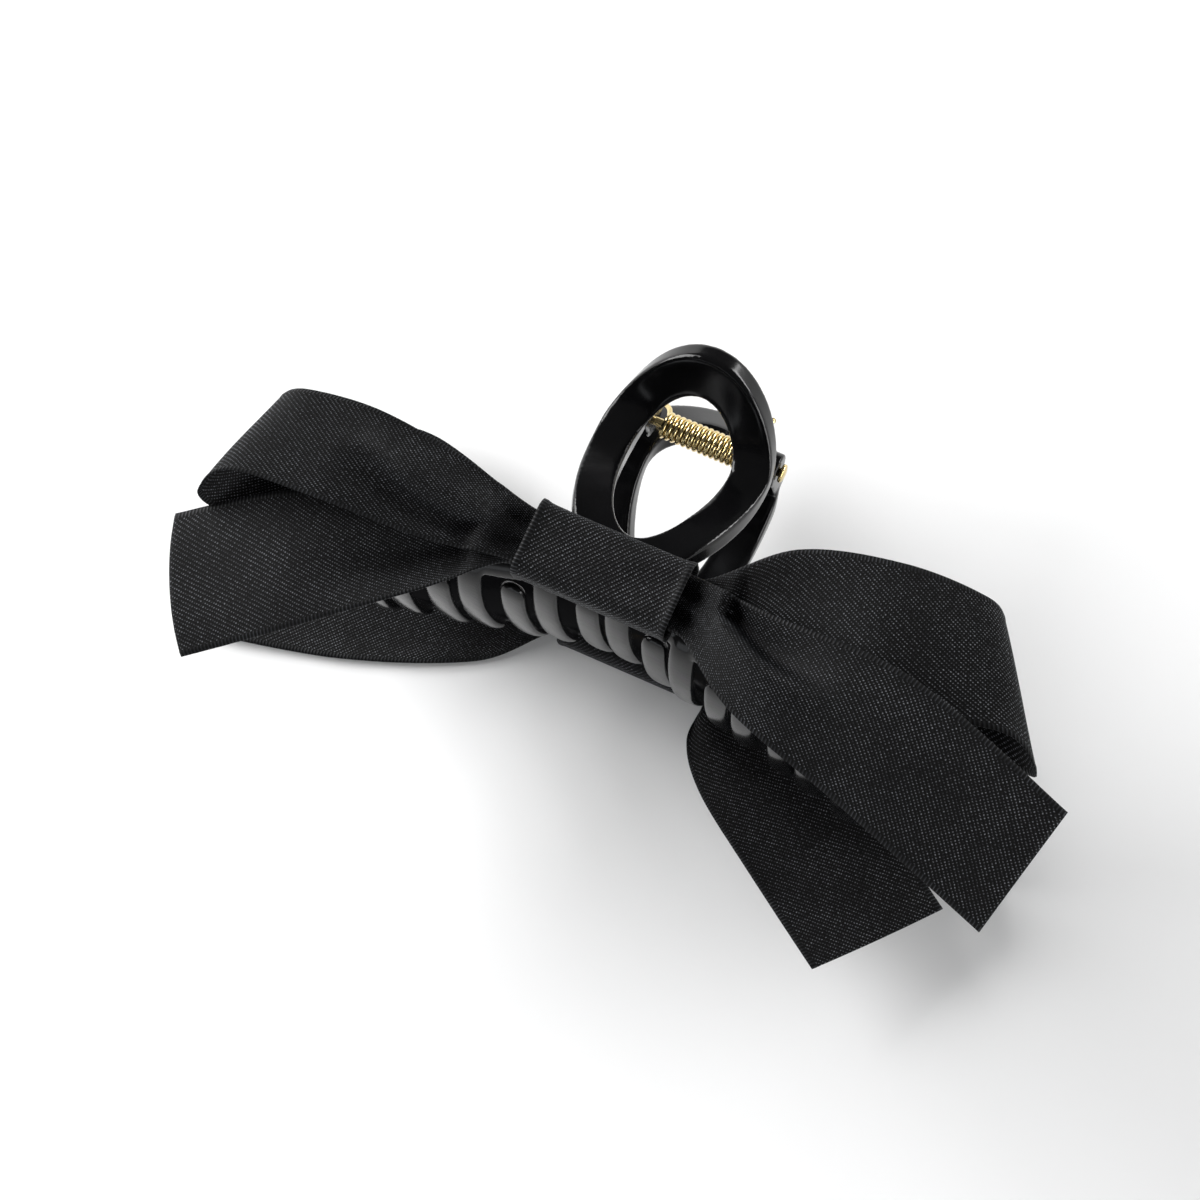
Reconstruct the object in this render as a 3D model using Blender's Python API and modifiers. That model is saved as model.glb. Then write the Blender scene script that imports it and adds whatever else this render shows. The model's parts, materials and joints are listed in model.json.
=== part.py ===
"""Hair claw with a satin ribbon bow on each jaw, lying on its back.

Two toothed plastic jaws turn on one pin and a torsion spring closes them.
X runs along the hinge, Y towards the handle tips, Z up from the rear jaw to the front jaw.
The origin is the centre of the rear bow's flat outer face, which lies on the table.
Lengths below are millimetres, and each mesh is scaled to metres when it is made.
"""

import math

import bmesh
import bpy
from mathutils import Matrix, Vector

MM = 0.001
HINGE_Y = 32.2  # from the origin to the pin's axis
HINGE_Z = 33.0

# Jaw profile in the plane across the hinge: (y, height above the midplane), from handle tip to tooth tip.
HANDLE_PROFILE = [(10.1, 22.2), (4.6, 14.2), (0.0, 9.9), (-4.0, 8.4), (-8.0, 9.2), (-12.0, 11.4)]
SPINE_PROFILE = [(-16.0, 14.5), (-20.0, 17.6), (-24.0, 20.2), (-28.0, 21.5), (-31.5, 21.7), (-34.2, 20.8)]
TOOTH_PROFILE = [(-36.2, 18.4), (-37.7, 14.0), (-38.7, 8.5), (-39.1, 3.0), (-39.1, -2.5)]
TIP_PROFILE = [(-38.7, -8.0), (-37.9, -12.8), (-36.7, -17.0)]
PROFILE = HANDLE_PROFILE + SPINE_PROFILE + TOOTH_PROFILE + TIP_PROFILE
JAW_HALF_LENGTH = 55.0
ARCH_SLOPE = 0.25  # how steeply the ends of the spine droop
ARCH_RADIUS = 6.0
ARCH_FROM_Y = -16.0  # the handle above this line stays straight
ARCH_FULL_Y = -28.0
END_NARROWING = 0.2

RING_OUTER = (15.7, -6.0, 15.7, 26.0)  # half width, y of the widest line, reach up, reach down
RING_HOLE = (8.8, -7.0, 11.6, 17.6)
RING_THICKNESS = 4.2
RING_CHAMFER = 0.9
SPINE_TOP_Y = -25.0
SPINE_BOTTOM_Y = -35.9
SPINE_THICKNESS = 2.4
SPINE_END_CUT = 2.4  # the strip loses this much height at its ends
SPINE_END_SHARE = 0.3
TOOTH_PITCH = 13.0
TOOTH_WIDTH = 4.8
TOOTH_THICKNESS = 2.3
TOOTH_CHAMFER = 0.7
TIP_START = 0.16  # the last share of a tooth, where it rounds off
TIP_SIZE = 0.55  # size of its end, as a share of the full width
TOOTH_START_Y = -33.0
FIRST_TOOTH_X = -49.2  # off centre, so that two like jaws interleave
TEETH = [FIRST_TOOTH_X + TOOTH_PITCH * k for k in range(8)]

PIN_RADIUS = 0.8
PIN_HEAD_RADIUS = 1.7
PIN_HEAD_THICKNESS = 0.9
PIN_HEAD_GAP = 0.3  # between a head and the lug beside it
PIN_DOME = 0.35
LUG_RADIUS = 3.2
LUG_WIDTH = 2.8
LUG_HOLE_RADIUS = 0.95
LUG_STEM_MIDDLE = (-0.6, 4.6)  # y and z of the block between the eye and the ring
LUG_STEM_SIZE = (LUG_WIDTH - 0.02, 4.6, 8.4)
FRONT_LUG_X = 10.3
REAR_LUG_X = 13.5
COIL_RADIUS = 2.05
WIRE_RADIUS = 0.47
COIL_HALF_LENGTH = 7.2
COIL_TURNS = 13.5
REAR_SPRING_LEG = [(-11.8, 5.8, -9.6), (-10.4, 5.2, -7.4), (-8.6, 4.2, -5.2), (-7.7, 2.6, -3.7), (-7.4, 1.2, -2.5)]

RIBBON_THICKNESS = 0.9
KNOT_Y = -33.2
KNOT_HALF_HEIGHT = 4.8
KNOT_LAYERS = (27.4, 29.0, 30.6)  # from the spine outwards
WRAP_HALF_LENGTH = 13.8
WRAP_Y = (-40.0, -26.4)
WRAP_Z = (25.3, 33.0)
WRAP_WALL = 0.7
WRAP_CORNER = 2.2
THREAD_RADIUS = 0.22
THREAD_TURNS = 4
THREAD_PITCH = 0.9
THREAD_CLEARANCE = (0.6, 0.55)  # from the gathered ribbon, in y and in z
THREAD_CORNER = 1.1
PAD_SIZE = (19.0, 7.0, 0.6)
PAD_Y = -32.4
PAD_Z = 24.68
PAD_EDGE = 0.3
KNOT_STATIONS = (-15.0, -5.0, 5.0, 15.0)
REAR_KNOT_SHIFT = 1.0  # the rear bow is glued on a little nearer the pin

# The folded ribbons: each row is the upper edge and the lower edge of the ribbon at one place.
FRONT_LEFT_TAIL = [
    ((-73.0, -52.0, 22.4), (-62.0, -73.6, 19.0)),
    ((-56.0, -41.5, 26.6), (-46.0, -62.2, 23.6)),
    ((-36.0, -35.0, 28.4), (-28.5, -48.8, 27.2)),
]
FRONT_RIGHT_LOOP = [
    ((28.0, -18.2, 32.8), (31.0, -38.4, 31.6)),
    ((45.0, -13.8, 34.2), (52.0, -36.6, 33.4)),
    ((59.0, -13.4, 32.8), (70.6, -32.2, 31.4)),
    ((62.4, -14.8, 29.2), (77.0, -35.8, 26.6)),
    ((59.0, -13.4, 25.8), (72.0, -35.6, 22.4)),
    ((48.0, -13.2, 25.5), (57.0, -37.0, 22.6)),
    ((30.0, -18.6, 26.6), (33.0, -38.6, 25.4)),
]
FRONT_LEFT_LOOP = [
    ((-30.0, -25.5, 26.4), (-32.0, -43.0, 25.4)),
    ((-46.0, -24.5, 25.4), (-54.0, -46.0, 22.6)),
    ((-57.0, -25.6, 27.4), (-66.0, -48.4, 22.0)),
    ((-61.2, -28.0, 33.0), (-69.5, -47.6, 27.0)),
    ((-57.0, -26.2, 37.2), (-64.6, -43.0, 31.8)),
    ((-44.0, -24.8, 38.2), (-49.0, -41.8, 34.0)),
    ((-28.0, -26.2, 36.8), (-30.0, -40.8, 33.6)),
]
FRONT_RIGHT_TAIL = [
    ((29.0, -30.0, 36.4), (29.0, -47.0, 34.2)),
    ((54.0, -31.0, 37.6), (51.0, -53.8, 33.4)),
    ((84.0, -40.6, 35.4), (78.7, -62.8, 30.0)),
]
REAR_LEFT_TAIL = [
    ((-70.2, -56.2, 21.0), (-53.9, -75.5, 18.0)),
    ((-49.6, -43.0, 26.4), (-35.0, -63.2, 23.4)),
    ((-30.0, -35.0, 28.2), (-21.6, -53.8, 27.0)),
    ((-18.6, -29.6, 28.8), (-15.6, -46.0, 28.2)),
]
REAR_RIGHT_LOOP = [
    ((28.0, -19.2, 30.6), (31.0, -38.8, 30.6)),
    ((45.0, -14.8, 30.8), (51.0, -37.6, 30.8)),
    ((58.0, -14.4, 30.8), (69.5, -34.6, 30.2)),
    ((61.8, -15.6, 28.4), (74.6, -37.2, 26.3)),
    ((58.0, -14.0, 24.6), (70.5, -36.6, 22.4)),
    ((48.0, -13.6, 24.2), (56.0, -37.0, 22.4)),
    ((30.0, -18.6, 26.2), (33.0, -38.6, 25.2)),
]
REAR_LEFT_LOOP = [
    ((-30.0, -25.5, 26.2), (-32.0, -42.5, 25.2)),
    ((-46.0, -23.5, 25.0), (-54.0, -45.0, 23.0)),
    ((-58.0, -24.6, 25.6), (-68.0, -46.5, 22.4)),
    ((-63.2, -27.0, 29.0), (-72.2, -48.0, 26.8)),
    ((-58.0, -26.0, 32.4), (-67.0, -46.6, 31.4)),
    ((-44.0, -25.4, 32.5), (-49.0, -44.0, 32.5)),
    ((-28.0, -26.4, 32.5), (-30.0, -42.8, 32.5)),
]
REAR_RIGHT_TAIL = [
    ((27.0, -30.5, 32.5), (27.0, -47.8, 32.5)),
    ((52.0, -33.5, 32.5), (50.5, -57.6, 32.5)),
    ((84.0, -40.0, 32.5), (78.5, -64.2, 32.5)),
]
RIBBON_ACROSS = 3

HALF_TURN = math.pi
BLACK_PLASTIC = ((0.012, 0.012, 0.013), 0.16, 0.0)
BLACK_SATIN = ((0.020, 0.021, 0.024), 0.55, 0.0)
BLACK_THREAD = ((0.015, 0.015, 0.017), 0.7, 0.0)
CLEAR_GLUE = ((0.62, 0.58, 0.48), 0.35, 0.0)
BRASS = ((0.78, 0.62, 0.30), 0.22, 1.0)


def clear_scene():
    for obj in list(bpy.data.objects):
        bpy.data.objects.remove(obj, do_unlink=True)


def collection(name):
    made = bpy.data.collections.new(name)
    bpy.context.scene.collection.children.link(made)
    return made


def material(name, look):
    color, roughness, metallic = look
    made = bpy.data.materials.new(name)
    made.use_nodes = True
    shader = made.node_tree.nodes["Principled BSDF"]
    shader.inputs["Base Color"].default_value = (*color, 1.0)
    shader.inputs["Roughness"].default_value = roughness
    shader.inputs["Metallic"].default_value = metallic
    return made


def catmull(points, t):
    """A point on the smooth curve through points, t running from 0 to len(points) - 1."""
    last = len(points) - 1
    i = min(int(t), last - 1)
    f = t - i
    a, b = Vector(points[max(i - 1, 0)]), Vector(points[i])
    c, d = Vector(points[i + 1]), Vector(points[min(i + 2, last)])
    return b + 0.5 * f * ((c - a) + f * ((2 * a - 5 * b + 4 * c - d) + f * (3 * (b - c) + d - a)))


def profile_table(steps=12):
    count = (len(PROFILE) - 1) * steps
    return [catmull(PROFILE, i / steps) for i in range(count + 1)]


TABLE = profile_table()


def profile_at_y(y):
    """Height and surface direction of the profile where it crosses y, above the teeth's turn."""
    for a, b in zip(TABLE, TABLE[1:]):
        if b.x <= y <= a.x:
            break
    f = (a.x - y) / max(a.x - b.x, 1e-6)
    return a.lerp(b, f), (b - a).normalized()


def bent(x, point):
    """A profile point carried to a place along the arched and narrowing spine."""
    y, h = point
    share = min(max((ARCH_FROM_Y - y) / (ARCH_FROM_Y - ARCH_FULL_Y), 0.0), 1.0)
    share = share * share * (3 - 2 * share)
    droop = ARCH_SLOPE * (math.hypot(x, ARCH_RADIUS) - ARCH_RADIUS)
    narrow = 1 - END_NARROWING * (x / JAW_HALF_LENGTH) ** 2 * share
    return Vector((x, y - droop * share, h * narrow))


def loft(name, rings, closed=False):
    """A mesh through rings of equally many points, closed on itself or capped at both ends."""
    bm = bmesh.new()
    rows = [[bm.verts.new(point) for point in ring] for ring in rings]
    pairs = list(zip(rows, rows[1:])) + ([(rows[-1], rows[0])] if closed else [])
    for low, high in pairs:
        for i in range(len(low)):
            j = (i + 1) % len(low)
            bm.faces.new((low[i], low[j], high[j], high[i]))
    if not closed:
        bm.faces.new(rows[0][::-1])
        bm.faces.new(rows[-1])
    bmesh.ops.recalc_face_normals(bm, faces=bm.faces)
    return finish_mesh(name, bm)


def finish_mesh(name, bm):
    mesh = bpy.data.meshes.new(name)
    bm.to_mesh(mesh)
    bm.free()
    mesh.transform(Matrix.Scale(MM, 4))
    mesh.shade_smooth()
    return bpy.data.objects.new(name, mesh)


def section(across, out, half_width, half_thickness, chamfer):
    """Offsets of an eight-sided section with cut corners."""
    w, t, c = half_width, half_thickness, chamfer
    corners = [(w, t - c), (w - c, t), (-w + c, t), (-w, t - c)]
    corners += [(-w, -t + c), (-w + c, -t), (w - c, -t), (w, -t + c)]
    return [across * a + out * b for a, b in corners]


def ring_handle(steps=40):
    """The teardrop ring, a flat band that follows the jaw's concave profile."""
    rings = []
    for k in range(steps):
        angle = 2 * math.pi * k / steps
        ends = []
        for half, middle, up, down in (RING_OUTER, RING_HOLE):
            reach = up if math.sin(angle) > 0 else down
            y = middle + reach * math.sin(angle)
            point, along = profile_at_y(y)
            ends.append((Vector((half * math.cos(angle), point.x, point.y)), along))
        (outer, along), (hole, _) = ends
        across = (outer - hole).normalized()
        normal = Vector((0.0, -along.y, along.x))
        normal = -normal if normal.z < 0 else normal
        centre = (outer + hole) / 2
        half_band = (outer - hole).length / 2
        rings.append([centre + v for v in section(across, normal, half_band, RING_THICKNESS / 2, RING_CHAMFER)])
    return loft("ring_handle", rings, closed=True)


def spine_bar(steps=26):
    """The arched strip that joins the handle and the teeth."""
    rings = []
    for k in range(steps + 1):
        x = JAW_HALF_LENGTH * (2 * k / steps - 1)
        end = 1 - abs(x) / JAW_HALF_LENGTH
        shorter = SPINE_END_CUT * (1 - min(end / SPINE_END_SHARE, 1.0)) ** 2
        ys = [SPINE_TOP_Y - shorter - i * (SPINE_TOP_Y - SPINE_BOTTOM_Y - shorter) / 3 for i in range(4)]
        outside, inside = [], []
        for y in ys:
            point, along = profile_at_y(y)
            normal = Vector((-along.y, along.x))
            normal = -normal if normal.y < 0 else normal
            outside.append(bent(x, point + normal * SPINE_THICKNESS / 2))
            inside.append(bent(x, point - normal * SPINE_THICKNESS / 2))
        rings.append(outside + inside[::-1])
    return loft("spine_bar", rings)


def tooth(x, steps=13):
    """One curved slat with a rounded tip, from the spine round to under the opposite spine."""
    start = next(i for i, point in enumerate(TABLE) if point.x < TOOTH_START_Y)
    rings = []
    for k in range(steps + 1):
        at = start + (len(TABLE) - 1 - start) * k / steps
        i = min(int(at), len(TABLE) - 2)
        point = TABLE[i].lerp(TABLE[i + 1], at - i)
        along = (TABLE[i + 1] - TABLE[i]).normalized()
        left = 1 - k / steps
        taper = TIP_SIZE + (1 - TIP_SIZE) * math.sqrt(min(left / TIP_START, 1.0))
        across = Vector((1.0, 0.0, 0.0))
        out = Vector((0.0, along.y, -along.x))
        middle = bent(x, point)
        sides = section(across, out, TOOTH_WIDTH / 2 * taper, TOOTH_THICKNESS / 2 * taper, TOOTH_CHAMFER * taper)
        rings.append([middle + v for v in sides])
    return loft("tooth", rings)


def lug(x):
    """The eye round the pin, with its stem up to the back of the ring."""
    bm = bmesh.new()
    turn = Matrix.Rotation(math.pi / 2, 4, "Y")
    bmesh.ops.create_cone(
        bm, cap_ends=True, segments=28, radius1=LUG_RADIUS, radius2=LUG_RADIUS, depth=LUG_WIDTH,
        matrix=Matrix.Translation((x, 0.0, 0.0)) @ turn)
    eye = finish_mesh("lug_eye", bm)
    bm = bmesh.new()
    bmesh.ops.create_cube(
        bm, size=1.0,
        matrix=Matrix.Translation((x, *LUG_STEM_MIDDLE)) @ Matrix.Diagonal((*LUG_STEM_SIZE, 1.0)))
    return [eye, finish_mesh("lug_stem", bm)]


def pin_cutter():
    bm = bmesh.new()
    bmesh.ops.create_cone(
        bm, cap_ends=True, segments=24, radius1=LUG_HOLE_RADIUS, radius2=LUG_HOLE_RADIUS, depth=40.0,
        matrix=Matrix.Rotation(math.pi / 2, 4, "Y"))
    return finish_mesh("pin_hole_cutter", bm)


def jaw(name, lug_x, look, parts, cutters):
    """One moulding: spine, ring handle, two lugs and a row of teeth, joined into one solid."""
    base = spine_bar()
    base.name = name
    pieces = [ring_handle()]
    pieces += lug(lug_x) + lug(-lug_x)
    pieces += [tooth(x) for x in TEETH]
    group = bpy.data.collections.new(name + "_pieces")
    cutters.children.link(group)
    for piece in pieces:
        group.objects.link(piece)
        helper(piece)
    union = base.modifiers.new("pieces", "BOOLEAN")
    union.operation = "UNION"
    union.operand_type = "COLLECTION"
    union.collection = group
    union.solver = "EXACT"
    hole = pin_cutter()
    cutters.objects.link(hole)
    helper(hole)
    cut = base.modifiers.new("pin_hole", "BOOLEAN")
    cut.operation = "DIFFERENCE"
    cut.object = hole
    cut.solver = "EXACT"
    for obj in pieces + [hole]:
        obj.parent = base
    parts.objects.link(base)
    base.data.materials.append(look)
    return base


def helper(obj):
    obj.hide_render = True
    obj.display_type = "WIRE"


def hinge_pin(look, parts):
    """A thin rod with a peened head at each end, turned about X."""
    end = REAR_LUG_X + LUG_WIDTH / 2 + PIN_HEAD_GAP
    outer = end + PIN_HEAD_THICKNESS
    right = [(end, PIN_RADIUS), (end, PIN_HEAD_RADIUS), (outer - PIN_DOME, PIN_HEAD_RADIUS)]
    right += [(outer, PIN_HEAD_RADIUS * 0.6), (outer, 0.0)]
    outline = [(-x, r) for x, r in right[::-1]] + right
    bm = bmesh.new()
    verts = [bm.verts.new((x, r, 0.0)) for x, r in outline]
    for a, b in zip(verts, verts[1:]):
        bm.edges.new((a, b))
    obj = finish_mesh("hinge_pin", bm)
    turned = obj.modifiers.new("turned", "SCREW")
    turned.axis = "X"
    turned.steps = turned.render_steps = 20
    turned.use_merge_vertices = True
    turned.merge_threshold = 0.00002
    turned.use_normal_calculate = True
    obj.data.materials.append(look)
    parts.objects.link(obj)
    return obj


def wire(name, points, radius, look, parts):
    """A round wire along a run of points."""
    curve = bpy.data.curves.new(name, "CURVE")
    curve.dimensions = "3D"
    curve.bevel_depth = radius * MM
    curve.bevel_resolution = 2
    curve.use_fill_caps = True
    spline = curve.splines.new("POLY")
    spline.points.add(len(points) - 1)
    for target, point in zip(spline.points, points):
        target.co = (*(Vector(point) * MM), 1.0)
    curve.materials.append(look)
    obj = bpy.data.objects.new(name, curve)
    parts.objects.link(obj)
    return obj


def torsion_spring(look, parts):
    """A close coil round the pin. Its legs press the two handles apart from behind."""
    per_turn = 10
    count = round(COIL_TURNS * per_turn)
    coil = []
    for k in range(count + 1):
        angle = 2 * math.pi * (k / per_turn + 0.25)
        x = COIL_HALF_LENGTH * (2 * k / count - 1)
        coil.append((x, COIL_RADIUS * math.cos(angle), -COIL_RADIUS * math.sin(angle)))
    front_leg = [(-x, y, -z) for x, y, z in REAR_SPRING_LEG[::-1]]
    return wire("torsion_spring", REAR_SPRING_LEG + coil + front_leg, WIRE_RADIUS, look, parts)


def knot_rows(layer, direction, shift):
    """The gathered ribbon where it passes through the wrap."""
    top, bottom = KNOT_Y + shift + KNOT_HALF_HEIGHT, KNOT_Y + shift - KNOT_HALF_HEIGHT
    z = KNOT_LAYERS[layer]
    rows = [((x, top, z), (x, bottom, z)) for x in KNOT_STATIONS]
    return rows if direction > 0 else rows[::-1]


def bow_ribbon(name, stretches, shift, look, parts, steps=3):
    """One long ribbon wound into two loops: its ends cross at the front and leave as the tails."""
    left_tail, right_loop, left_loop, right_tail = stretches
    rows = left_tail + knot_rows(1, 1, shift) + right_loop + knot_rows(0, -1, shift) + left_loop
    rows += knot_rows(2, 1, shift) + right_tail
    bm = bmesh.new()
    grid = []
    for k in range((len(rows) - 1) * steps + 1):
        upper = catmull([row[0] for row in rows], k / steps)
        lower = catmull([row[1] for row in rows], k / steps)
        grid.append([bm.verts.new(upper.lerp(lower, i / RIBBON_ACROSS)) for i in range(RIBBON_ACROSS + 1)])
    for low, high in zip(grid, grid[1:]):
        for i in range(RIBBON_ACROSS):
            bm.faces.new((low[i], low[i + 1], high[i + 1], high[i]))
    obj = finish_mesh(name, bm)
    cloth = obj.modifiers.new("cloth", "SOLIDIFY")
    cloth.thickness = RIBBON_THICKNESS * MM
    cloth.offset = 0.0
    obj.data.materials.append(look)
    parts.objects.link(obj)
    return obj


def rounded_box_path(half_y, half_z, radius, per_corner):
    """Points round a rectangle with round corners, in the plane across X."""
    points = []
    for k in range(4):
        middle = (half_y - radius, half_z - radius)
        sign = [(1, 1), (-1, 1), (-1, -1), (1, -1)][k]
        for i in range(per_corner + 1):
            angle = math.pi / 2 * (k + i / per_corner)
            y = sign[0] * middle[0] + radius * math.cos(angle)
            z = sign[1] * middle[1] + radius * math.sin(angle)
            points.append((y, z))
    return points


def centre_wrap(name, look, parts):
    """A short flat tube of ribbon round the knot."""
    middle_y, middle_z = sum(WRAP_Y) / 2, sum(WRAP_Z) / 2
    half_y, half_z = (WRAP_Y[1] - WRAP_Y[0]) / 2, (WRAP_Z[1] - WRAP_Z[0]) / 2
    path = rounded_box_path(half_y, half_z, WRAP_CORNER, 4)
    bm = bmesh.new()
    rows = []
    for x in (-WRAP_HALF_LENGTH, WRAP_HALF_LENGTH):
        rows.append([bm.verts.new((x, middle_y + y, middle_z + z)) for y, z in path])
    for i in range(len(path)):
        j = (i + 1) % len(path)
        bm.faces.new((rows[0][i], rows[0][j], rows[1][j], rows[1][i]))
    bmesh.ops.recalc_face_normals(bm, faces=bm.faces)
    obj = finish_mesh(name, bm)
    obj.data.shade_flat()
    shell = obj.modifiers.new("wall", "SOLIDIFY")
    shell.thickness = WRAP_WALL * MM
    shell.offset = -1.0
    obj.data.materials.append(look)
    parts.objects.link(obj)
    return obj


def gather_thread(name, look, parts):
    """Four turns of thread that gather the ribbon under the wrap."""
    half_y = KNOT_HALF_HEIGHT + THREAD_CLEARANCE[0]
    half_z = (KNOT_LAYERS[2] - KNOT_LAYERS[0] + RIBBON_THICKNESS) / 2 + THREAD_CLEARANCE[1]
    path = rounded_box_path(half_y, half_z, THREAD_CORNER, 2)
    count = THREAD_TURNS * len(path)
    points = []
    for k in range(count):
        y, z = path[k % len(path)]
        x = THREAD_PITCH * (k / len(path) - THREAD_TURNS / 2)
        points.append((x, KNOT_Y + y, KNOT_LAYERS[1] + z))
    return wire(name, points, THREAD_RADIUS, look, parts)


def glue_pad(name, look, parts):
    """The set bead of hot glue between the wrap and the spine."""
    bm = bmesh.new()
    size = Matrix.Diagonal((*PAD_SIZE, 1.0))
    bmesh.ops.create_cube(bm, size=1.0, matrix=Matrix.Translation((0.0, PAD_Y, PAD_Z)) @ size)
    obj = finish_mesh(name, bm)
    round_off = obj.modifiers.new("edges", "BEVEL")
    round_off.width = PAD_EDGE * MM
    round_off.segments = 2
    obj.data.materials.append(look)
    parts.objects.link(obj)
    return obj


def place(obj, rear, shift=0.0):
    """Objects are modelled about the pin. The rear set is the front set turned half round about Y."""
    obj.location = (0.0, (HINGE_Y + shift) * MM, HINGE_Z * MM)
    obj.rotation_euler = (0.0, HALF_TURN if rear else 0.0, 0.0)


def bow(side, stretches, satin, thread, glue, parts):
    """One bow: the wound ribbon, the thread and wrap round its knot, and the glue that holds it."""
    rear = side == "rear"
    shift = REAR_KNOT_SHIFT if rear else 0.0
    place(bow_ribbon(side + "_bow_ribbon", stretches, shift, satin, parts), rear)
    pieces = [
        centre_wrap(side + "_bow_wrap", satin, parts),
        gather_thread(side + "_gather_thread", thread, parts),
        glue_pad(side + "_glue_pad", glue, parts),
    ]
    for piece in pieces:
        place(piece, rear, shift)


def main():
    clear_scene()
    parts = collection("bow_hair_claw")
    cutters = collection("cutters")
    cutters.hide_render = True
    plastic = material("black_plastic", BLACK_PLASTIC)
    satin = material("black_satin", BLACK_SATIN)
    thread = material("black_thread", BLACK_THREAD)
    glue = material("clear_glue", CLEAR_GLUE)
    brass = material("brass", BRASS)
    place(jaw("rear_jaw", REAR_LUG_X, plastic, parts, cutters), True)
    place(jaw("front_jaw", FRONT_LUG_X, plastic, parts, cutters), False)
    place(hinge_pin(brass, parts), False)
    place(torsion_spring(brass, parts), False)
    front = (FRONT_LEFT_TAIL, FRONT_RIGHT_LOOP, FRONT_LEFT_LOOP, FRONT_RIGHT_TAIL)
    rear = (REAR_LEFT_TAIL, REAR_RIGHT_LOOP, REAR_LEFT_LOOP, REAR_RIGHT_TAIL)
    bow("front", front, satin, thread, glue, parts)
    bow("rear", rear, satin, thread, glue, parts)


main()
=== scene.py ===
"""Looks of the bow hair claw: folded satin ribbons, polished jaws, brass spring, camera and light.

Shapes are worked out in millimetres about the pin, X along it, Y towards the handle tips and Z up,
then carried into the frame in metres.
"""

import json
import math

import bmesh
import bpy
from mathutils import Matrix, Vector, noise


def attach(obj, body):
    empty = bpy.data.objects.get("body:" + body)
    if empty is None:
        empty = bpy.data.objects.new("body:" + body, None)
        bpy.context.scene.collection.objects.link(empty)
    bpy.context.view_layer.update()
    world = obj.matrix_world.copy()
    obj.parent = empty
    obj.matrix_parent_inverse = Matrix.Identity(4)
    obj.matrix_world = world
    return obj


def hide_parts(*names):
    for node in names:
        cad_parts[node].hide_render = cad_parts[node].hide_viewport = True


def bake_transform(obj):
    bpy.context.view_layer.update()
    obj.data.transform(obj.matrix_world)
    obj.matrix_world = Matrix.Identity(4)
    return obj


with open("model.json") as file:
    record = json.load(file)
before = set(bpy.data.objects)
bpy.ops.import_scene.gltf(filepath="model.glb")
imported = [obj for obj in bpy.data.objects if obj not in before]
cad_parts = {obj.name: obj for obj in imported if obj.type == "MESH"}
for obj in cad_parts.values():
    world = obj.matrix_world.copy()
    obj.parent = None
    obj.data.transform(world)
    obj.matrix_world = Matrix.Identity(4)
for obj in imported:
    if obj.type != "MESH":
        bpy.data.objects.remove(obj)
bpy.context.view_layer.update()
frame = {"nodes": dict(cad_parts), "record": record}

MM = 0.001
HINGE = Vector(frame["record"]["behaviour"]["joints"][0]["pos_m"])
FRONT = Matrix.Translation(HINGE) @ Matrix.Scale(MM, 4)
REAR = Matrix.Translation(HINGE) @ Matrix.Rotation(math.pi, 4, "Y") @ Matrix.Scale(MM, 4)

# ---------------------------------------------------------------- the camera, as the object is seen

AZIMUTH, ELEVATION, ROLL = (math.radians(a) for a in (11.0, -9.0, 25.0))
DISTANCE = 0.5
LENS = 85.5
AIM_RIGHT, AIM_DOWN = -0.0178, 0.0281  # from the pin to the middle of the view, across the view


def make_camera():
    """The camera looks down on the clip from in front of it, rolled about its line of sight."""
    back = Vector((math.sin(AZIMUTH) * math.cos(ELEVATION), math.sin(ELEVATION),
                   math.cos(AZIMUTH) * math.cos(ELEVATION)))
    right = Vector((math.cos(AZIMUTH), 0.0, -math.sin(AZIMUTH)))
    up = back.cross(right)
    right, up = (right * math.cos(ROLL) + up * math.sin(ROLL), up * math.cos(ROLL) - right * math.sin(ROLL))
    data = bpy.data.cameras.new("camera")
    data.lens = LENS
    data.clip_start = 0.01
    camera = bpy.data.objects.new("camera", data)
    place = HINGE + right * AIM_RIGHT - up * AIM_DOWN + back * DISTANCE
    turn = Matrix((right, up, back)).transposed().to_4x4()
    camera.matrix_world = Matrix.Translation(place) @ turn
    bpy.context.scene.collection.objects.link(camera)
    bpy.context.scene.camera = camera


# ---------------------------------------------------------------- materials


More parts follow.
